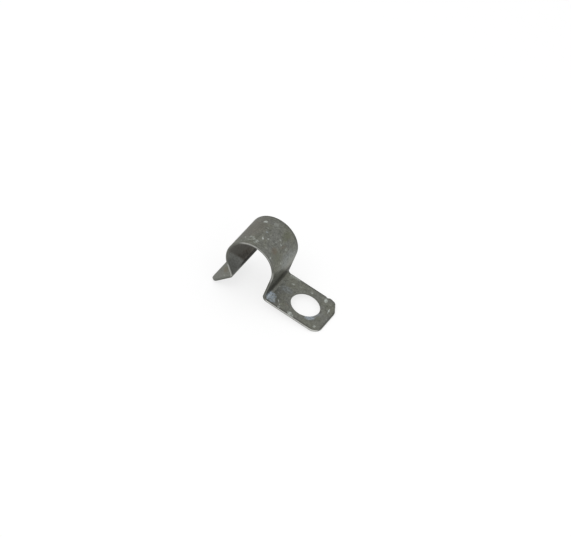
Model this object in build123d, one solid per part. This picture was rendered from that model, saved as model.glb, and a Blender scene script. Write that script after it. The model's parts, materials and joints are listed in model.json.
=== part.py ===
from build123d import *

import os

# One-hole hose clip: a steel strip punched for a screw and bent into a flat tab, an arch that
# wraps the hose, a reverse crease and a flared lip. Sizes are in millimetres and degrees.
# The origin is the centre of the screw hole on the tab's underside. X points from the arch to
# the tab's free end, Y runs along the hose and Z points up from the tab.

# Strip
sheet_thickness = 0.5
hole_side_margin = 2.0          # flat left between the screw hole and each long edge

# Tab
screw_hole_diameter = 6.6       # clearance hole for an M6 screw
hole_end_margin = 2.7           # flat left between the screw hole and the tab's free end
hole_bend_margin = 4.8          # from the screw hole to the hose side of the leg
tab_bend_radius = 0.7           # inside of the bend between tab and leg

# Arch
hose_seat_diameter = 10.6
leg_height = 6.5                # from the tab's underside up to the start of the arch
leg_lean = 0.8                  # the leg leans this far in under the arch
arch_wrap = 217.5               # turn of the strip around the hose

# Free end
free_leg_length = 3.2           # from the end of the arch to the crease, on the hose side
crease_radius = 0.3             # inside of the reverse crease
crease_angle = 104.0            # between the free leg and the lip
lip_length = 6.8                # from the crease to the lip's end, on the hose side

# Corners, all rounded alike but the far one of the tab, which is cropped at a slant
corner_radius = 2.2
crop_length = 1.4               # along the tab
crop_width = 2.8                # across the tab
crop_round = 1.0                # at both ends of the crop

# Worked out from the sizes above
screw_hole_radius = screw_hole_diameter / 2
strip_width = screw_hole_diameter + 2 * hole_side_margin
hose_seat_radius = hose_seat_diameter / 2

# Hose side of the strip, drawn in the XZ plane from the tab's free end to the lip's end
leg_direction = Vector(0, 1).rotate(Axis.Z, -leg_lean)
free_leg_direction = leg_direction.rotate(Axis.Z, arch_wrap)
lip_direction = free_leg_direction.rotate(Axis.Z, crease_angle - 180)
tab_end = Vector(screw_hole_radius + hole_end_margin, 0)
tab_corner = Vector(-screw_hole_radius - hole_bend_margin, 0)
arch_start = tab_corner + leg_direction * leg_height

# Axes along the sheet's thickness at the tab and at the lip
tab_normal = Axis.Z
lip_normal = Axis((0, 0, 0), (lip_direction.Y, 0, -lip_direction.X))

with BuildPart() as clip_strip:
    # Bent profile, thickened away from the hose
    with BuildSketch(Plane.XZ):
        with BuildLine():
            FilletPolyline(tab_end, tab_corner, arch_start, radius=tab_bend_radius + sheet_thickness)
            arch = JernArc(arch_start, leg_direction, hose_seat_radius, arch_wrap)
            crease_corner = arch @ 1 + free_leg_direction * free_leg_length
            lip_end = crease_corner + lip_direction * lip_length
            FilletPolyline(arch @ 1, crease_corner, lip_end, radius=crease_radius + sheet_thickness)
            offset(amount=sheet_thickness, side=Side.RIGHT)
        make_face()
    extrude(amount=strip_width / 2, both=True)

    # Rounded corners of the lip and of the tab's near side
    lip_corners = faces().sort_by(Axis.X)[0].edges().filter_by(lip_normal)
    tab_corners = faces().sort_by(Axis.X)[-1].edges().filter_by(tab_normal).sort_by(Axis.Y)
    fillet([*lip_corners, tab_corners[0]], corner_radius)

    # Cropped corner of the tab's far side
    tab_end_face = faces().sort_by(Axis.X)[-1]
    far_corner = tab_end_face.edges().filter_by(tab_normal).sort_by(Axis.Y)[-1]
    chamfer(far_corner, crop_width, crop_length, reference=tab_end_face)
    fillet(edges(Select.LAST).filter_by(tab_normal), crop_round)

    # Screw hole punched through the tab
    with BuildSketch(Plane.XY):
        Circle(screw_hole_radius)
    extrude(amount=sheet_thickness, mode=Mode.SUBTRACT)

os.makedirs("parts", exist_ok=True)
export_step(clip_strip.part, "parts/clip_strip.step")
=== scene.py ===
import json
import math

import bmesh
import bpy
from mathutils import Matrix, Vector


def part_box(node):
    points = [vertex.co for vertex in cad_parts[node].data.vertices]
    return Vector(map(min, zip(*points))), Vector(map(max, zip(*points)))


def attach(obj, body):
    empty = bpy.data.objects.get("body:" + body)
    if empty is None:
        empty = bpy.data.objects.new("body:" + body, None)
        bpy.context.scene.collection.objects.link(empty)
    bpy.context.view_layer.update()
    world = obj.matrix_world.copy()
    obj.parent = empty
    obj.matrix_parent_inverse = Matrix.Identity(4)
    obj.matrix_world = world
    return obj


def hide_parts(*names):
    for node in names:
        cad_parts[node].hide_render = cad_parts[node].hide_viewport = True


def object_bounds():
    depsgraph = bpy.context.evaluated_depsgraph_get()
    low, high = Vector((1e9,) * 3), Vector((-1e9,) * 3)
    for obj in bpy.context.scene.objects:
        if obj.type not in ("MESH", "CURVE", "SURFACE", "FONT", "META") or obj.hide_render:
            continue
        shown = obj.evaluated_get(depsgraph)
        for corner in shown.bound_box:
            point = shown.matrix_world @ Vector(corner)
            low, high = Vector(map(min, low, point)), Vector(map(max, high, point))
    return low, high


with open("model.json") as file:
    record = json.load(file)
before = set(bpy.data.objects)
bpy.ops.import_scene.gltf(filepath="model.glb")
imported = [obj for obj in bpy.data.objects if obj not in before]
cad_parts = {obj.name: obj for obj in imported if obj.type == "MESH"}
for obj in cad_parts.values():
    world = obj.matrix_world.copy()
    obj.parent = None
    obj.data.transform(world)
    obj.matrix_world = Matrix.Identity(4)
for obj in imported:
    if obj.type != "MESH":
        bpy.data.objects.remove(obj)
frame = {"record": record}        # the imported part, in metres
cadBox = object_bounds()
print("frame loaded")

# Hose clip: one strip of zinc plated steel, punched flat and then bent.
# Modelled in millimetres as on the bench, then brought down to metres.
mm = 0.001
mounts = {mount["name"]: mount for mount in frame["record"]["mounts"]}
lowCorner, highCorner = [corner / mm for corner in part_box("clip_strip")]

strip = {
    "legLean": 0.8,            # degrees that the leg leans in under the arch
    "archWrap": 217.5,         # degrees of strip around the hose
    "creaseAngle": 104.0,      # degrees between the free leg and the lip
    "tabBendRadius": 0.7,      # inside of the bend between tab and leg
    "creaseRadius": 0.3,       # inside of the reverse crease
    "cornerRadius": 2.2,       # three corners of the blank
    "cropLength": 1.4,         # slanted far corner of the tab, along the strip
    "cropWidth": 2.8,          # and across it
    "cropRound": 1.0,
    "cornerSteps": 14,
    "holeSteps": 96,
    "archFolds": 96,           # fold lines in each round bend
    "tightFolds": 14,
    "dieRoll": 0.05,           # rounding that the punch drags into the outer side
    "dieRollSteps": 4,
    "burrRound": 0.02,         # the hose side is left much sharper
    "burrSteps": 2,
    "smoothAngle": 40,
}
# Nick and burr that the shear left in the tab's far edge: place along it and how far it stands out
tornEdge = {
    2.2: 0.0,
    2.45: -0.13,
    2.72: -0.15,
    2.95: 0.03,
    3.15: 0.14,
    3.6: 0.14,
    3.85: 0.05,
}

sheet = mounts["screw_hole"]["dims"]["length_mm"]
holeRadius = mounts["screw_hole"]["dims"]["r_mm"]
stripWidth = mounts["hose_seat"]["dims"]["length_mm"]
seatRadius = mounts["hose_seat"]["dims"]["r_mm"]
seatCentre = Vector((mounts["hose_seat"]["pos_m"][0], mounts["hose_seat"]["pos_m"][2])) / mm
hair = 0.001                   # reach of a place test, in mm


def heading(degrees):
    return Vector((math.cos(math.radians(degrees)), math.sin(math.radians(degrees))))


def tangentLength(radius, turn):
    return radius * math.tan(math.radians(turn / 2))


# Side profile of the hose side, in X and Z, followed from the tab to the lip
legAngle = 90 - strip["legLean"]
freeAngle = legAngle + strip["archWrap"]
lipAngle = freeAngle + strip["creaseAngle"] - 180
legTop = seatCentre + seatRadius * heading(legAngle - 90)
legLength = legTop.y / heading(legAngle).y
tabCorner = legTop - legLength * heading(legAngle)
archEnd = seatCentre + seatRadius * heading(freeAngle - 90)
lipOutward = heading(lipAngle - 90)
lipTip = Vector((lowCorner.x - sheet * lipOutward.x, lowCorner.z))
legAndLip = Matrix((heading(freeAngle), heading(lipAngle))).transposed()
freeLength, lipLength = legAndLip.inverted() @ (lipTip - archEnd)

bendTurn = 180 - legAngle
bendRadius = strip["tabBendRadius"] + sheet
bendTangent = tangentLength(bendRadius, bendTurn)
creaseTurn = 180 - strip["creaseAngle"]
creaseRadius = strip["creaseRadius"] + sheet
creaseTangent = tangentLength(creaseRadius, creaseTurn)

foldLines = []                 # place along the flat blank and turn, from the tab to the lip


def layFolds(start, radius, turn, steps):
    # Chords of a round bend, with half a turn on its first and last line
    chord = 2 * radius * math.sin(math.radians(abs(turn) / steps / 2))
    for step in range(steps + 1):
        share = 0.5 if step in (0, steps) else 1.0
        foldLines.append((start - step * chord, share * turn / steps))
    return start - steps * chord


tabEnd = highCorner.x
bendStart = tabCorner.x + bendTangent
bendEnd = layFolds(bendStart, bendRadius, bendTurn, strip["tightFolds"])
archStart = bendEnd - (legLength - bendTangent)
archStop = layFolds(archStart, seatRadius, -strip["archWrap"], strip["archFolds"])
creaseStart = archStop - (freeLength - creaseTangent)
creaseStop = layFolds(creaseStart, creaseRadius, creaseTurn, strip["tightFolds"])
lipEnd = creaseStop - (lipLength - creaseTangent)


def pick(kind, test):
    # In edit mode, selects only the verts, edges or faces that pass the test
    bpy.ops.mesh.select_mode(type=kind)
    bpy.ops.mesh.select_all(action="DESELECT")
    mesh = bmesh.from_edit_mesh(bpy.context.object.data)
    items = {"VERT": mesh.verts, "EDGE": mesh.edges, "FACE": mesh.faces}[kind]
    for item in items:
        if test(item):
            item.select_set(True)
    mesh.select_flush_mode()
    bmesh.update_edit_mesh(bpy.context.object.data)


def near(vert, x, y):
    return abs(vert.co.x - x) < hair and abs(vert.co.y - y) < hair


def sliceBlank(place, normal, clear):
    bpy.ops.mesh.select_all(action="SELECT")
    bpy.ops.mesh.bisect(plane_co=place, plane_no=normal, clear_outer=clear, threshold=hair / 10)


# Flat blank
halfWidth = stripWidth / 2
bpy.ops.object.select_all(action="DESELECT")
bpy.ops.mesh.primitive_plane_add(size=1, location=((tabEnd + lipEnd) / 2, 0, 0))
clip = bpy.context.object
clip.name = "hose_clip_strip"
clip.scale = (tabEnd - lipEnd, stripWidth, 1)
bpy.ops.object.transform_apply(location=True, rotation=True, scale=True)
bpy.ops.object.mode_set(mode="EDIT")

# Rounded corners, then the slanted one
roundedCorners = [(lipEnd, -halfWidth), (lipEnd, halfWidth), (tabEnd, -halfWidth)]
pick("VERT", lambda vert: any(near(vert, x, y) for x, y in roundedCorners))
bpy.ops.mesh.bevel(offset=strip["cornerRadius"], segments=strip["cornerSteps"], affect="VERTICES")
cropStart = Vector((tabEnd - strip["cropLength"], halfWidth, 0))
cropStop = Vector((tabEnd, halfWidth - strip["cropWidth"], 0))
cropSlant = math.degrees(math.atan2(strip["cropWidth"], strip["cropLength"]))
cropNormal = Vector((strip["cropWidth"], strip["cropLength"], 0)).normalized()
sliceBlank(cropStart, cropNormal, True)
for end, turn in ((cropStart, cropSlant), (cropStop, 90 - cropSlant)):
    pick("VERT", lambda vert: near(vert, end.x, end.y))
    cut = tangentLength(strip["cropRound"], turn)
    bpy.ops.mesh.bevel(offset=cut, segments=strip["cornerSteps"] // 2, affect="VERTICES")

# Torn stretch of the far edge: new points on the edge, then each is pulled out
bpy.ops.mesh.select_mode(type="FACE")
for x in tornEdge:
    sliceBlank((x, 0, 0), (1, 0, 0), False)
for x, pull in tornEdge.items():
    pick("VERT", lambda vert: near(vert, x, halfWidth))
    bpy.ops.transform.translate(value=(0, pull, 0))

# Fold lines across the strip
for x, turn in foldLines:
    sliceBlank((x, 0, 0), (1, 0, 0), False)

# Screw hole punched in the tab
pick("FACE", lambda face: face.calc_center_median().x > bendStart)
bpy.ops.mesh.dissolve_faces()
bpy.ops.mesh.delete(type="ONLY_FACE")
bpy.ops.mesh.primitive_circle_add(vertices=strip["holeSteps"], radius=holeRadius)
pick("EDGE", lambda edge: len(edge.link_faces) < 2
     and all(vert.co.x > bendStart - hair for vert in edge.verts))
bpy.ops.mesh.fill(use_beauty=True)
bpy.ops.mesh.select_all(action="SELECT")
bpy.ops.mesh.remove_doubles(threshold=hair)
bpy.ops.mesh.normals_make_consistent(inside=False)
pick("FACE", lambda face: face.normal.z < 0)
bpy.ops.mesh.flip_normals()
bpy.ops.object.mode_set(mode="OBJECT")
print("blank punched:", len(clip.data.vertices), "points")

# The UV map is the flat blank in millimetres, so that the rolling lines follow the strip
blankMap = clip.data.uv_layers.new(name="flatBlank")
for loop in clip.data.loops:
    blankMap.data[loop.index].uv = clip.data.vertices[loop.vertex_index].co.xy

# Bent from the lip back to the tab: all that lies past a fold line turns about it
flatPlace = [vert.co.x for vert in clip.data.vertices]
bpy.ops.object.mode_set(mode="EDIT")
for x, turn in reversed(foldLines):
    pick("VERT", lambda vert: flatPlace[vert.index] < x - hair)
    bpy.ops.transform.rotate(value=-math.radians(turn), orient_axis="Y", orient_type="GLOBAL",
                             center_override=(x, 0, 0))
bpy.ops.object.mode_set(mode="OBJECT")
print("strip bent over", len(foldLines), "fold lines")

# Sheet thickness, added to the outer side
for slotName in ("outerSide", "hoseSide", "cutEdge"):
    clip.data.materials.append(bpy.data.materials.new(slotName))
wall = clip.modifiers.new("sheet", "SOLIDIFY")
wall.thickness = sheet
wall.offset = 1
wall.use_even_offset = True
wall.material_offset = 1
wall.material_offset_rim = 2
bpy.ops.object.modifier_apply(modifier=wall.name)


# Cut edges: the punch rolls the outer side over and leaves the hose side sharp
outerSlot, hoseSlot, edgeSlot = 0, 1, 2


def between(edge, slotA, slotB):
    return {face.material_index for face in edge.link_faces} == {slotA, slotB}


depth = clip.data.attributes.new("throughSheet", "FLOAT", "CORNER")    # 0 hose side, 1 outer side
outerPoints = set()
for face in clip.data.polygons:
    if face.material_index == outerSlot:
        outerPoints.update(face.vertices)
for loop in clip.data.loops:
    depth.data[loop.index].value = loop.vertex_index in outerPoints

bpy.ops.object.mode_set(mode="EDIT")
pick("EDGE", lambda edge: between(edge, outerSlot, edgeSlot))
bpy.ops.mesh.bevel(offset=strip["dieRoll"], segments=strip["dieRollSteps"], affect="EDGES",
                   material=outerSlot)
pick("EDGE", lambda edge: between(edge, hoseSlot, edgeSlot))
bpy.ops.mesh.bevel(offset=strip["burrRound"], segments=strip["burrSteps"], affect="EDGES",
                   material=edgeSlot)
bpy.ops.object.mode_set(mode="OBJECT")

# Broad faces keep their own normals beside the small rolled edges
bpy.ops.object.shade_smooth_by_angle(angle=math.radians(strip["smoothAngle"]))
flatness = clip.modifiers.new("flatness", "WEIGHTED_NORMAL")
flatness.keep_sharp = True
bpy.ops.object.modifier_apply(modifier=flatness.name)
clip.scale = (mm, mm, mm)
bpy.ops.object.transform_apply(location=True, rotation=True, scale=True)
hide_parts("clip_strip")
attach(clip, "root")
print("strip finished:", len(clip.data.polygons), "faces")


# Materials
def linear(hexColour):
    # sRGB hex to the linear colour that a shader takes
    channels = [int(hexColour[i:i + 2], 16) / 255 for i in (1, 3, 5)]
    return [c / 12.92 if c <= 0.04045 else ((c + 0.055) / 1.055) ** 2.4 for c in channels] + [1.0]


def addNode(tree, kind, settings, links):
    # A key that the node itself has is a setting, and any other is one of its inputs
    node = tree.nodes.new("ShaderNode" + kind)
    for key, value in settings.items():
        if isinstance(key, str) and hasattr(node, key):
            setattr(node, key, value)
        else:
            node.inputs[key].default_value = value
    for key, source in links.items():
        tree.links.new(source, node.inputs[key])
    return node


factor, colourA, colourB, colourOut = 0, 6, 7, 2     # sockets of a Mix node set to colour

# Zinc plated steel strip, cold rolled: dull grey with an olive cast, mottled by age and handling,
# with faint rolling lines along the strip, thin scratches and small bright specks
plated = {
    "grey": "#6d6e69",
    "olive": "#6b6c63",            # thin tarnish, in clouds
    "scratch": "#a3a5a0",
    "pit": "#4d4d48",
    "metallic": 1.0,
    "roughness": 0.44,
    "roughnessSpread": 0.07,
    "edgeTint": "#f4f4f0",         # dull zinc brightens little where it is seen aslant
    "tarnishRange": (0.40, 0.62),  # of the cloud pattern, from clean to olive
    "fineShade": (0.80, 1.20),     # darkest and lightest share of the grain and rolling lines
    "mottleShade": (0.70, 1.30),
    "patchShade": (0.80, 1.20),
    "ragged": 0.30,                # mm that the edge of a mark wanders
    "bumpStrength": 0.25,
    "bumpDepth": 0.02,             # mm
    "patternShift": (17.0, 5.0),   # mm that keep the patterns from repeating each other
}
# Its patterns: turn from the strip's length, run and breadth in mm, fine detail and waver
platedPatterns = {
    "cloud": (0, 4.5, 4.5, 3.0, 0.0),
    "mottle": (0, 0.9, 0.9, 5.0, 0.0),
    "patch": (0, 0.45, 0.45, 4.0, 0.0),
    "grain": (0, 0.16, 0.16, 2.0, 0.0),        # crystals are finer: drawn coarse enough to show
    "rollingLines": (0, 5.0, 0.09, 2.0, 0.0),  # finer too
    "specks": (0, 0.36, 0.30, 2.0, 0.0),
    "scratchA": (17, 5.0, 0.11, 1.5, 0.35),    # scratches are drawn wider than real ones
    "scratchB": (-38, 3.2, 0.09, 1.5, 0.35),
    "scratchC": (71, 3.8, 0.10, 1.5, 0.35),
    "scratchD": (-84, 2.6, 0.09, 1.5, 0.35),
}
# Thin traces: pattern, colour, the level where it starts to show, where it is full, and its strength
platedTraces = [
    ("scratchA", "scratch", 0.66, 0.76, 0.22),
    ("scratchB", "scratch", 0.66, 0.76, 0.26),
    ("scratchC", "scratch", 0.67, 0.77, 0.20),
    ("scratchD", "scratch", 0.68, 0.76, 0.22),
    ("specks", "scratch", 0.64, 0.82, 0.42),
    ("specks", "pit", 0.34, 0.20, 0.50),
]
# What lies on the plating, and painted shade and sheen: a colour, how dull, metallic and patchy it is, and
# its marks, from the tab's end to the lip. Each mark has its place on the flat blank, length, breadth,
# turn, strength and soft rim.
grimeAndPaintedShade = {
    "colour": "#2b2925",           # dark dirt in spots, darker bands along the edges, and painted shade in the bend, on the arch's back and at the lip
    "roughness": 0.60,
    "metallic": 0.4,
    "patchy": 0.25,
    "endEdge": (6.0, 0.0, 0.70, 40.0, 0, 0.44, 0.9),
    "holeRight": (3.45, 0.3, 0.30, 1.1, 5, 0.50, 0.8),
    "tabNearLine": (-0.9, -5.06, 13.0, 0.32, 0, 0.44, 0.8),
    "holeLeft": (-3.45, -0.2, 0.25, 0.8, 0, 0.35, 0.8),
    # painted shade: the bend between tab and leg is darkened as it lies in its own shade, with a little
    # dirt in the fold
    "bendShade": (-5.4, -3.3, 1.2, 2.4, -35, 0.14, 0.8),
    "bendHollow": (-7.6, 0.0, 1.2, 24.0, 0, 0.10, 0.9),
    "bendLine": (-10.2, 0.0, 2.4, 24.0, 0, 0.76, 0.9),
    "legEdge": (-11.0, -4.85, 5.0, 0.45, 0, 0.36, 0.8),
    "nearEdge": (-19.0, -5.3, 90.0, 0.55, 0, 0.16, 0.9),
    "farEdge": (-19.0, 5.3, 90.0, 0.80, 0, 0.40, 0.9),
    "crownFar": (-26.0, 2.5, 4.5, 6.0, 0, 0.09, 0.9),
    # painted shade on the back of the arch, towards its far side
    "archBack": (-30.2, 0.0, 7.0, 18.0, 0, 0.36, 0.8),
    # painted shade at the lip's root in the crease and over the lip
    "lipRoot": (-38.6, 0.5, 3.4, 9.0, 0, 0.35, 0.8),
    "lipPaintedShade": (-41.0, -1.5, 6.5, 9.0, 0, 0.10, 0.9),
    "lipStreak": (-42.8, -1.65, 1.1, 0.35, -35, 0.34, 0.9),
}
rust = {
    "colour": "#6b5b4c",           # thin brown stains
    "roughness": 0.55,
    "metallic": 0.5,
    "patchy": 0.4,
    "tabNear": (-3.1, -3.1, 0.7, 0.5, 0, 0.30, 0.8),
    "archStreak": (-18.7, 0.3, 0.5, 1.8, -15, 0.30, 0.8),
    "archPatch": (-19.5, -2.6, 1.3, 1.7, 0, 0.40, 0.8),
    "archLeftLow": (-25.9, -0.9, 1.6, 1.2, 0, 0.20, 0.8),
    "crownWarm": (-26.0, 0.5, 4.0, 7.5, 0, 0.16, 0.9),
    "archLeft": (-26.5, 2.6, 1.9, 0.45, -40, 0.35, 0.8),
    "lipFace": (-41.4, -1.9, 3.0, 0.9, -55, 0.40, 0.9),
}
olive = {
    "colour": "#5c5f49",           # greenish tarnish
    "roughness": 0.50,
    "metallic": 0.8,
    "patchy": 0.4,
    "tabEnd": (4.1, -1.6, 1.4, 1.0, 0, 0.30, 0.8),
    "tabEndCloud": (3.9, -2.8, 4.2, 3.6, 0, 0.14, 0.9),
    "archBelow": (-18.6, -3.2, 2.4, 2.8, 0, 0.25, 0.8),
    "archFar": (-19.7, 2.8, 1.5, 3.0, 0, 0.45, 0.8),
    "lipFace": (-41.4, -1.6, 3.4, 1.1, -55, 0.55, 0.8),
}
bloomAndSheenTint = {
    "colour": "#a8b4c0",           # pale blue chalk, as zinc salts dry, and a pale blue tint of the painted sheen on the leg
    "roughness": 0.62,
    "metallic": 0.3,
    "patchy": 0.6,
    "holeTail": (3.45, -0.8, 1.6, 0.4, 76, 0.25, 0.8),
    "holeRim": (2.5, -2.55, 2.3, 1.35, 47, 0.54, 0.7),
    "tabInnerCloud": (-5.2, 0.6, 2.4, 1.8, 0, 0.14, 0.9),
    "bendCornerSide": (-6.0, -4.4, 1.2, 0.9, 35, 0.50, 0.8),
    "bendCorner": (-7.1, -3.6, 2.6, 2.4, 10, 0.90, 0.7),
    "bendCornerTail": (-8.7, -4.6, 2.2, 0.9, 43, 0.45, 0.8),
    # pale blue tint of the painted sheen on the leg
    "legBlue": (-15.2, 1.2, 3.6, 7.0, -20, 0.10, 0.9),
    "crownBlue": (-23.1, 0.1, 0.5, 0.45, 0, 0.35, 0.8),
}
scuffsAndPaintedSheen = {
    "colour": "#b3b8b3",           # rubbed bare and bright, and a painted sheen on the leg and beside the bend
    "roughness": 0.40,
    "metallic": 1.0,
    "patchy": 0.6,
    "endDot": (5.6, -0.5, 0.34, 0.30, 0, 0.27, 0.7),
    "endScratch": (4.68, 2.0, 1.4, 0.30, -82, 1.00, 0.6),
    "nearCorner": (4.5, -4.1, 0.7, 0.55, 60, 0.50, 0.6),
    "cornerRub": (2.74, 4.18, 1.25, 0.85, -64, 0.62, 0.7),
    "cornerRubEdge": (2.5, 4.2, 1.0, 0.30, -62, 0.78, 0.7),
    "holeFar": (-0.7, 3.85, 0.55, 0.5, 0, 0.60, 0.6),
    "tabPatchSide": (-0.8, -4.95, 1.0, 0.7, 0, 0.58, 0.6),
    "tabPatch": (-1.4, -4.7, 1.15, 0.95, 0, 0.62, 0.6),
    "holeInner": (-2.6, 2.3, 0.34, 0.26, 0, 0.27, 0.7),
    "tabFarDot": (-3.1, 3.5, 0.34, 0.30, 0, 0.24, 0.7),
    "tabSpot": (-4.05, -4.85, 0.6, 0.55, 0, 0.80, 0.6),
    "tabDashLow": (-4.35, -4.15, 0.45, 0.25, -55, 0.60, 0.6),
    "tabFarMid": (-4.6, 5.0, 0.6, 0.4, 0, 0.50, 0.7),
    "tabDash": (-4.95, -3.5, 0.95, 0.24, -55, 0.75, 0.6),
    "tabSoft": (-5, 3, 0.85, 0.51, 35, 0.27, 0.8),
    "tabFarEdge": (-5.5, 4.9, 1.7, 0.5, 0, 0.48, 0.8),
    "bendStreak": (-5.95, -3.7, 1.0, 0.26, -65, 0.80, 0.6),
    "tabFarInner": (-6.4, 4.9, 0.7, 0.5, 0, 0.55, 0.7),
    # painted highlight: lightens the tab beside the bend against its own shade
    "bendPaintedSheen": (-6.5, 0.0, 1.2, 14.0, 0, 0.10, 0.9),
    "bendStreakLow": (-6.6, -4.3, 1.0, 0.25, -15, 0.50, 0.8),
    "tabBend": (-6.9, 0.2, 0.47, 0.42, 0, 0.41, 0.8),
    "bendStreakInner": (-7.0, -3.4, 1.3, 0.35, 40, 0.60, 0.7),
    "bendStreakEdge": (-7.6, -4.2, 1.2, 0.25, 60, 0.55, 0.8),
    # painted sheen on the leg
    "legSheen": (-14.4, 0.5, 4.6, 9.0, 0, 0.13, 0.9),
    "legSpot": (-16.4, -2.2, 0.5, 0.4, 45, 0.45, 0.7),
    "archRightSoft": (-17.8, 0.8, 0.9, 0.6, 60, 0.18, 0.9),
    "archNick": (-19.15, -4.85, 0.51, 0.34, 80, 0.54, 0.7),
    "archRightLow": (-19.4, 0.1, 0.7, 0.5, 0, 0.34, 0.8),
    "archRight": (-20.1, 0.8, 0.6, 0.5, 0, 0.30, 0.8),
    "archRightNear": (-20.4, -0.6, 0.55, 0.34, 60, 0.30, 0.8),
    "crownTiny": (-21.5, -1.2, 0.30, 0.26, 0, 0.34, 0.7),
    "crownPair": (-22, -1.4, 0.47, 0.30, 60, 0.43, 0.7),
    "crownSoft": (-22.7, 3.3, 1.1, 1.0, 0, 0.17, 0.9),
    "crownBright": (-22.85, -2.1, 1.05, 0.42, -60, 0.62, 0.6),
    "archEdge": (-23.3, -3.75, 0.8, 0.6, 60, 0.45, 0.7),
    "crownDot": (-23.5, 1.4, 0.42, 0.34, 0, 0.38, 0.8),
    "archEdgeLow": (-23.6, -4.25, 0.6, 0.4, 0, 0.50, 0.7),
    "archEdgeSide": (-24.0, -3.45, 1.3, 0.6, -10, 0.32, 0.8),
    "archLeftInner": (-24.9, -2.9, 1.1, 0.7, 0, 0.36, 0.8),
    "archLeftEdge": (-24.9, -3.95, 0.9, 0.5, 0, 0.36, 0.8),
    "crownDash": (-24.95, 3.05, 0.95, 0.60, 20, 1.00, 0.4),
    "archLeft": (-26.2, -3.3, 0.85, 0.26, -60, 0.35, 0.8),
    "lipScratch": (-40.1, -4.4, 1.0, 0.25, -35, 0.35, 0.8),
}
outerCoats = (grimeAndPaintedShade, olive, rust, bloomAndSheenTint, scuffsAndPaintedSheen)
# On the hose side a dark film of rubber lies where the hose sits, rubbed off towards the mouth
film = {
    "colour": "#55534d",           # thin rubber left by the hose
    "roughness": 0.55,
    "metallic": 0.6,
    "patchy": 0.1,
    "seat": (-25.6, 0.0, 23.6, 60.0, 0, 0.96, 0.08),
}
filmBrown = {
    "colour": "#423a31",           # thicker and browner
    "roughness": 0.58,
    "metallic": 0.5,
    "patchy": 0.4,
    "legInside": (-15.5, -2.0, 3.0, 4.5, 0, 0.30, 0.8),
    "crown": (-24.0, 1.0, 6.0, 4.0, 20, 0.30, 0.8),
    "mouthLine": (-35.1, -0.6, 2.8, 0.8, -43, 0.60, 0.8),
    "mouthFar": (-35.4, 1.5, 1.5, 3.8, 8, 0.70, 0.8),
}
filmRubbed = {
    "colour": "#7a7c79",           # the film rubbed thin
    "roughness": 0.45,
    "metallic": 1.0,
    "patchy": 0.3,
    "legRub": (-14.5, 2.8, 2.4, 3.4, 15, 0.40, 0.6),
    "archFarRub": (-20.5, 4.6, 7.0, 1.6, -4, 0.45, 0.6),
    "mouthNear": (-36.0, -5.75, 18.0, 8.2, -43, 0.86, 0.16),
}
filmDirtAndPaintedShade = {
    "colour": "#1f1c18",           # dirt packed into the crease, and painted shade along the crease where it turns away
    "roughness": 0.60,
    "metallic": 0.3,
    "patchy": 0.25,
    "mouthLine": (-35.1, -0.5, 2.2, 0.5, -43, 0.35, 0.9),
    "mouthFar": (-35.6, 1.0, 0.9, 2.8, 10, 0.40, 0.9),
    # painted shade: darkens the crease where it turns away from view
    "crease": (-36.75, 2.0, 0.8, 7.6, 0, 0.95, 0.7),
}
hoseCoats = (film, filmBrown, filmRubbed, filmDirtAndPaintedShade)


def maskOf(tree, place, coat):
    # A soft round spot for each mark, stretched and turned, with the strongest showing at each point
    mask = None
    for mark in coat.values():
        if not isinstance(mark, tuple):
            continue
        x, y, length, breadth, turn, strength, softRim = mark
        outer = 1 + softRim / 2
        local = addNode(tree, "Mapping", {
            "vector_type": "TEXTURE", "Location": (x, y, 0), "Rotation": (0, 0, math.radians(turn)),
            "Scale": (outer * length / 2, outer * breadth / 2, 1)}, {"Vector": place})
        inward = addNode(tree, "TexGradient", {"gradient_type": "SPHERICAL"}, {"Vector": local.outputs[0]})
        spot = addNode(tree, "MapRange", {
            "interpolation_type": "SMOOTHSTEP", "From Max": softRim / outer, "To Max": strength},
            {"Value": inward.outputs["Fac"]})
        mask = spot if mask is None else addNode(
            tree, "Math", {"operation": "MAXIMUM"}, {0: mask.outputs[0], 1: spot.outputs[0]})
    return mask.outputs[0]


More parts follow.
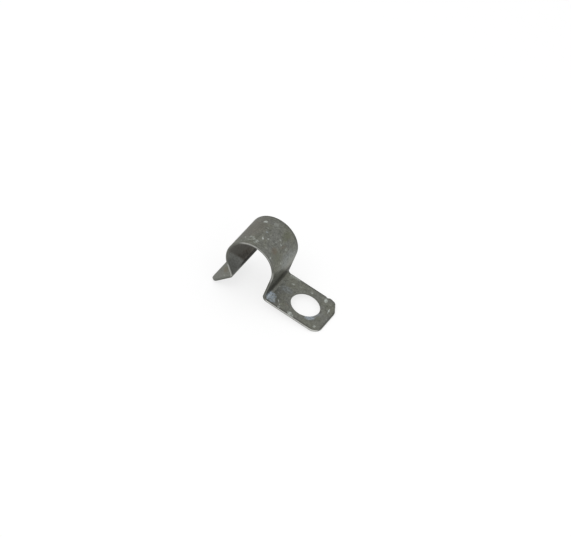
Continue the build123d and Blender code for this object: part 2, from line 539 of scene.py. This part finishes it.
def zincPlatedSteelRolled(name, coats):
    material = bpy.data.materials.new(name)
    material.use_nodes = True
    tree = material.node_tree
    shader = tree.nodes["Principled BSDF"]
    flat = addNode(tree, "UVMap", {"uv_map": "flatBlank"}, {}).outputs["UV"]

    pattern = {}
    shiftAlong, shiftAcross = plated["patternShift"]
    for patternName, (turn, run, breadth, detail, waver) in platedPatterns.items():
        along = addNode(tree, "Mapping", {
            "vector_type": "TEXTURE", "Location": (shiftAlong * len(pattern), shiftAcross, 0),
            "Rotation": (0, 0, math.radians(turn)), "Scale": (run, breadth, 1)}, {"Vector": flat})
        pattern[patternName] = addNode(tree, "TexNoise", {
            "noise_dimensions": "2D", "Scale": 1.0, "Detail": detail, "Roughness": 0.6,
            "Distortion": waver}, {"Vector": along.outputs[0]}).outputs[0]

    # Mottle, grain and rolling lines darken and lighten the plating
    clean, tarnished = plated["tarnishRange"]
    tarnish = addNode(tree, "MapRange", {"From Min": clean, "From Max": tarnished},
                      {"Value": pattern["cloud"]})
    plating = addNode(tree, "Mix", {"data_type": "RGBA", colourA: linear(plated["grey"]),
                                    colourB: linear(plated["olive"])}, {factor: tarnish.outputs[0]})
    texture = addNode(tree, "Math", {"operation": "ADD"},
                      {0: pattern["grain"], 1: pattern["rollingLines"]})
    dark, light = plated["fineShade"]
    fine = addNode(tree, "MapRange", {"From Min": 0.5, "From Max": 1.5, "To Min": dark, "To Max": light},
                   {"Value": texture.outputs[0]})
    dark, light = plated["mottleShade"]
    coarse = addNode(tree, "MapRange", {"From Min": 0.2, "From Max": 0.8, "To Min": dark, "To Max": light},
                     {"Value": pattern["mottle"]})
    dark, light = plated["patchShade"]
    blotch = addNode(tree, "MapRange", {"From Min": 0.3, "From Max": 0.7, "To Min": dark, "To Max": light},
                     {"Value": pattern["patch"]})
    shade = addNode(tree, "Math", {"operation": "MULTIPLY"}, {0: fine.outputs[0], 1: coarse.outputs[0]})
    shade = addNode(tree, "Math", {"operation": "MULTIPLY"}, {0: shade.outputs[0], 1: blotch.outputs[0]})
    colour = addNode(tree, "VectorMath", {"operation": "SCALE"},
                     {0: plating.outputs[colourOut], "Scale": shade.outputs[0]}).outputs[0]

    for patternName, tone, starts, full, strength in platedTraces:
        share = addNode(tree, "MapRange", {"From Min": starts, "From Max": full, "To Max": strength},
                        {"Value": pattern[patternName]})
        colour = addNode(tree, "Mix", {"data_type": "RGBA", colourB: linear(plated[tone])},
                         {factor: share.outputs[0], colourA: colour}).outputs[colourOut]
    smooth = plated["roughness"] - plated["roughnessSpread"]
    dull = plated["roughness"] + plated["roughnessSpread"]
    gloss = addNode(tree, "MapRange", {"From Min": 0.3, "From Max": 0.7, "To Min": smooth, "To Max": dull},
                    {"Value": pattern["mottle"]}).outputs[0]

    # Coats and marks, painted shade and sheen among them, ragged at the edge and patchy within
    wander = addNode(tree, "TexNoise", {"noise_dimensions": "2D", "Scale": 1 / plated["ragged"],
                                        "Detail": 2.0}, {"Vector": flat})
    centred = addNode(tree, "VectorMath", {"operation": "SUBTRACT", 1: (0.5, 0.5, 0.5)},
                      {0: wander.outputs["Color"]})
    wandered = addNode(tree, "VectorMath", {
        "operation": "MULTIPLY", 1: (plated["ragged"], plated["ragged"], 0)}, {0: centred.outputs[0]})
    ragged = addNode(tree, "Mapping", {}, {"Vector": flat, "Location": wandered.outputs[0]}).outputs[0]
    metal = None
    for coat in coats:
        thin, thick = 1 - coat["patchy"], 1 + coat["patchy"] / 2
        patches = addNode(tree, "MapRange", {"From Min": 0.35, "From Max": 0.65, "To Min": thin,
                                             "To Max": thick}, {"Value": pattern["patch"]})
        cover = addNode(tree, "Math", {"operation": "MULTIPLY"},
                        {0: maskOf(tree, ragged, coat), 1: patches.outputs[0]})
        share = addNode(tree, "Math", {"operation": "MULTIPLY", "use_clamp": True},
                        {0: cover.outputs[0], 1: shade.outputs[0]}).outputs[0]
        colour = addNode(tree, "Mix", {"data_type": "RGBA", colourB: linear(coat["colour"])},
                         {factor: share, colourA: colour}).outputs[colourOut]
        gloss = addNode(tree, "Mix", {"B": coat["roughness"]}, {factor: share, "A": gloss}).outputs[0]
        below = {factor: share} if metal is None else {factor: share, "A": metal}
        metal = addNode(tree, "Mix", {"A": plated["metallic"], "B": coat["metallic"]}, below).outputs[0]

    relief = addNode(tree, "Bump", {"Strength": plated["bumpStrength"],
                                    "Distance": plated["bumpDepth"] * mm}, {"Height": texture.outputs[0]})
    shader.inputs["Specular Tint"].default_value = linear(plated["edgeTint"])
    tree.links.new(colour, shader.inputs["Base Color"])
    tree.links.new(metal, shader.inputs["Metallic"])
    tree.links.new(gloss, shader.inputs["Roughness"])
    tree.links.new(relief.outputs[0], shader.inputs["Normal"])
    return material


# Sheared edges under the same plating: a burnished band beside the rolled side and a rougher torn
# band below it, with streaks across the sheet, and rubbed bright where the clip is handled
sheared = {
    "burnished": "#74756f",
    "torn": "#64655f",
    "metallic": 1.0,
    "roughness": 0.46,
    "streakSpacing": 0.12,         # mm along the edge, coarser than real ones
    "tearSize": 0.10,
    "waver": 0.35,                 # share of the sheet by which the bands wander
    "tornBand": (0.85, 0.65),      # through the sheet, from burnished to torn
    "rubBand": (0.40, 0.70),       # the burnished band stands proud and is rubbed most
    "rubLevel": (0.35, 1.1),
    "shade": (0.88, 1.12),
    "bumpStrength": 0.4,
    "bumpDepth": 0.02,             # mm
}
# Bright rubbed stretches, as marks on the flat blank
edgeRubs = {
    "colour": "#cbcbc7",           # bare bright steel
    "tabCorner": (4.2, -5.0, 3.4, 2.4, 0, 1.00, 0.7),
    "tabNear": (-0.9, -5.3, 12.6, 1.6, 0, 0.74, 0.25),
    "tabFar": (-0.9, 5.3, 12.6, 1.6, 0, 0.50, 0.25),
    "tabBend": (-6.4, 0.0, 1.8, 60.0, 0, 0.90, 0.6),
    "legTop": (-14.6, 0.0, 2.6, 60.0, 0, 0.35, 0.8),
    "crown": (-21.8, 0.0, 7.6, 60.0, 0, 0.32, 0.7),
    "crownLeft": (-24.1, 0.0, 4.2, 60.0, 0, 0.50, 0.7),
    "freeLeg": (-35.9, 0.0, 3.6, 60.0, 0, 0.45, 0.5),
}


def zincPlatedSteelSheared(name):
    material = bpy.data.materials.new(name)
    material.use_nodes = True
    tree = material.node_tree
    shader = tree.nodes["Principled BSDF"]
    flat = addNode(tree, "UVMap", {"uv_map": "flatBlank"}, {}).outputs["UV"]
    place = addNode(tree, "TexCoord", {}, {}).outputs["Object"]
    through = addNode(tree, "Attribute", {"attribute_name": "throughSheet"}, {}).outputs["Fac"]

    streaks = addNode(tree, "TexNoise", {"Scale": 1 / sheared["streakSpacing"], "Detail": 2.0},
                      {"Vector": flat})
    tears = addNode(tree, "TexNoise", {"Scale": 1 / (sheared["tearSize"] * mm), "Detail": 3.0},
                    {"Vector": place})
    wavering = addNode(tree, "Math", {"operation": "MULTIPLY_ADD", 1: sheared["waver"]},
                       {0: streaks.outputs[0], 2: through})
    burnished, torn = sheared["tornBand"]
    tornBand = addNode(tree, "MapRange", {"From Min": burnished, "From Max": torn},
                       {"Value": wavering.outputs[0]})
    colour = addNode(tree, "Mix", {"data_type": "RGBA", colourA: linear(sheared["burnished"]),
                                   colourB: linear(sheared["torn"])}, {factor: tornBand.outputs[0]})
    texture = addNode(tree, "Math", {"operation": "ADD"}, {0: streaks.outputs[0], 1: tears.outputs[0]})
    dark, light = sheared["shade"]
    shade = addNode(tree, "MapRange", {"From Min": 0.6, "From Max": 1.4, "To Min": dark, "To Max": light},
                    {"Value": texture.outputs[0]})
    low, high = sheared["rubBand"]
    least, most = sheared["rubLevel"]
    proud = addNode(tree, "MapRange", {"From Min": low, "From Max": high, "To Min": least, "To Max": most},
                    {"Value": wavering.outputs[0]})
    worn = addNode(tree, "Math", {"operation": "MULTIPLY", "use_clamp": True},
                   {0: maskOf(tree, flat, edgeRubs), 1: proud.outputs[0]})
    colour = addNode(tree, "Mix", {"data_type": "RGBA", colourB: linear(edgeRubs["colour"])},
                     {factor: worn.outputs[0], colourA: colour.outputs[colourOut]})
    colour = addNode(tree, "VectorMath", {"operation": "SCALE"},
                     {0: colour.outputs[colourOut], "Scale": shade.outputs[0]})
    relief = addNode(tree, "Bump", {"Strength": sheared["bumpStrength"],
                                    "Distance": sheared["bumpDepth"] * mm}, {"Height": texture.outputs[0]})
    shader.inputs["Metallic"].default_value = sheared["metallic"]
    shader.inputs["Roughness"].default_value = sheared["roughness"]
    tree.links.new(colour.outputs[0], shader.inputs["Base Color"])
    tree.links.new(relief.outputs[0], shader.inputs["Normal"])
    return material


clip.data.materials[outerSlot] = zincPlatedSteelRolled("zincPlatedSteelRolled", outerCoats)
clip.data.materials[hoseSlot] = zincPlatedSteelRolled("zincPlatedSteelRubberFilmed", hoseCoats)
clip.data.materials[edgeSlot] = zincPlatedSteelSheared("zincPlatedSteelSheared")
print("materials made")

# Stage: a white floor that the lip's end and the tab's end touch
stage = {
    "floorSize": 1.2,              # metres
    "floorGrey": 0.30,
    "floorGlow": 0.74,             # brings the lit floor up to white for the camera
    "worldLight": 0.75,
    "keyPower": 0.6,               # watts, from two large soft lamps in front
    "keySize": 0.35,
    "keyPlace": (-0.15, -0.30, 0.45),
    "fillPower": 0.3,
    "fillSize": 0.40,
    "fillPlace": (0.40, -0.35, 0.35),
}


def seenByEye(tree):
    # 1 for what the camera sees, straight on or in metal or glass
    path = addNode(tree, "LightPath", {}, {})
    shown = addNode(tree, "Math", {"operation": "MAXIMUM"},
                    {0: path.outputs["Is Camera Ray"], 1: path.outputs["Is Glossy Ray"]})
    shown = addNode(tree, "Math", {"operation": "MAXIMUM"},
                    {0: shown.outputs[0], 1: path.outputs["Is Transmission Ray"]})
    return shown.outputs[0]


lean = math.atan2(-lipTip.y, tabEnd - lipTip.x)
bpy.ops.object.select_all(action="DESELECT")
bpy.ops.mesh.primitive_plane_add(size=stage["floorSize"], location=(tabEnd * mm, 0, 0),
                                 rotation=(0, -lean, 0))
floor = bpy.context.object
floor.name = "floor"
floorPaint = bpy.data.materials.new("floorPaint")
floorPaint.use_nodes = True
tree = floorPaint.node_tree
tree.nodes.clear()
matt = addNode(tree, "BsdfDiffuse", {"Color": [stage["floorGrey"]] * 3 + [1.0]}, {})
glowLevel = addNode(tree, "Math", {"operation": "MULTIPLY", 1: stage["floorGlow"]},
                    {0: seenByEye(tree)})
glow = addNode(tree, "Emission", {}, {"Strength": glowLevel.outputs[0]})
lit = addNode(tree, "AddShader", {}, {0: matt.outputs[0], 1: glow.outputs[0]})
clear = addNode(tree, "BsdfTransparent", {}, {})
under = addNode(tree, "NewGeometry", {}, {}).outputs["Backfacing"]
oneSided = addNode(tree, "MixShader", {}, {0: under, 1: lit.outputs[0], 2: clear.outputs[0]})
addNode(tree, "OutputMaterial", {}, {"Surface": oneSided.outputs[0]})
floor.data.materials.append(floorPaint)

world = bpy.data.worlds.new("studio")
bpy.context.scene.world = world
world.use_nodes = True
tree = world.node_tree
level = addNode(tree, "MapRange", {"To Min": stage["worldLight"], "To Max": 1.0},
                {"Value": seenByEye(tree)})
tree.nodes["Background"].inputs["Color"].default_value = (1, 1, 1, 1)
tree.links.new(level.outputs[0], tree.nodes["Background"].inputs["Strength"])

middle = (cadBox[0] + cadBox[1]) / 2
for lampName in ("key", "fill"):
    bpy.ops.object.light_add(type="AREA", location=stage[lampName + "Place"])
    lamp = bpy.context.object
    lamp.name = lampName
    lamp.data.energy = stage[lampName + "Power"]
    lamp.data.size = stage[lampName + "Size"]
    lamp.rotation_euler = (middle - lamp.location).to_track_quat("-Z", "Y").to_euler()

# Camera of the photograph: a long lens from the front and above, rolled a little
view = {
    "azimuth": 13.58,              # degrees
    "elevation": 44.83,
    "roll": 23.40,
    "place": (0.09136, -0.40799, 0.42353),
    "lens": 176.5,                 # mm on a 36 mm sensor
    "nearest": 0.01,               # metres
}
bpy.ops.object.camera_add(location=view["place"])
camera = bpy.context.object
camera.data.lens = view["lens"]
camera.data.clip_start = view["nearest"]
azimuth = math.radians(view["azimuth"])
elevation = math.radians(view["elevation"])
back = Vector((math.sin(azimuth) * math.cos(elevation), -math.cos(azimuth) * math.cos(elevation),
               math.sin(elevation)))
upright = back.to_track_quat("Z", "Y").to_matrix()
camera.rotation_euler = (upright @ Matrix.Rotation(math.radians(view["roll"]), 3, "Z")).to_euler()
bpy.context.scene.camera = camera
bpy.context.scene.view_settings.view_transform = "Standard"
print("stage, lamps and camera set")
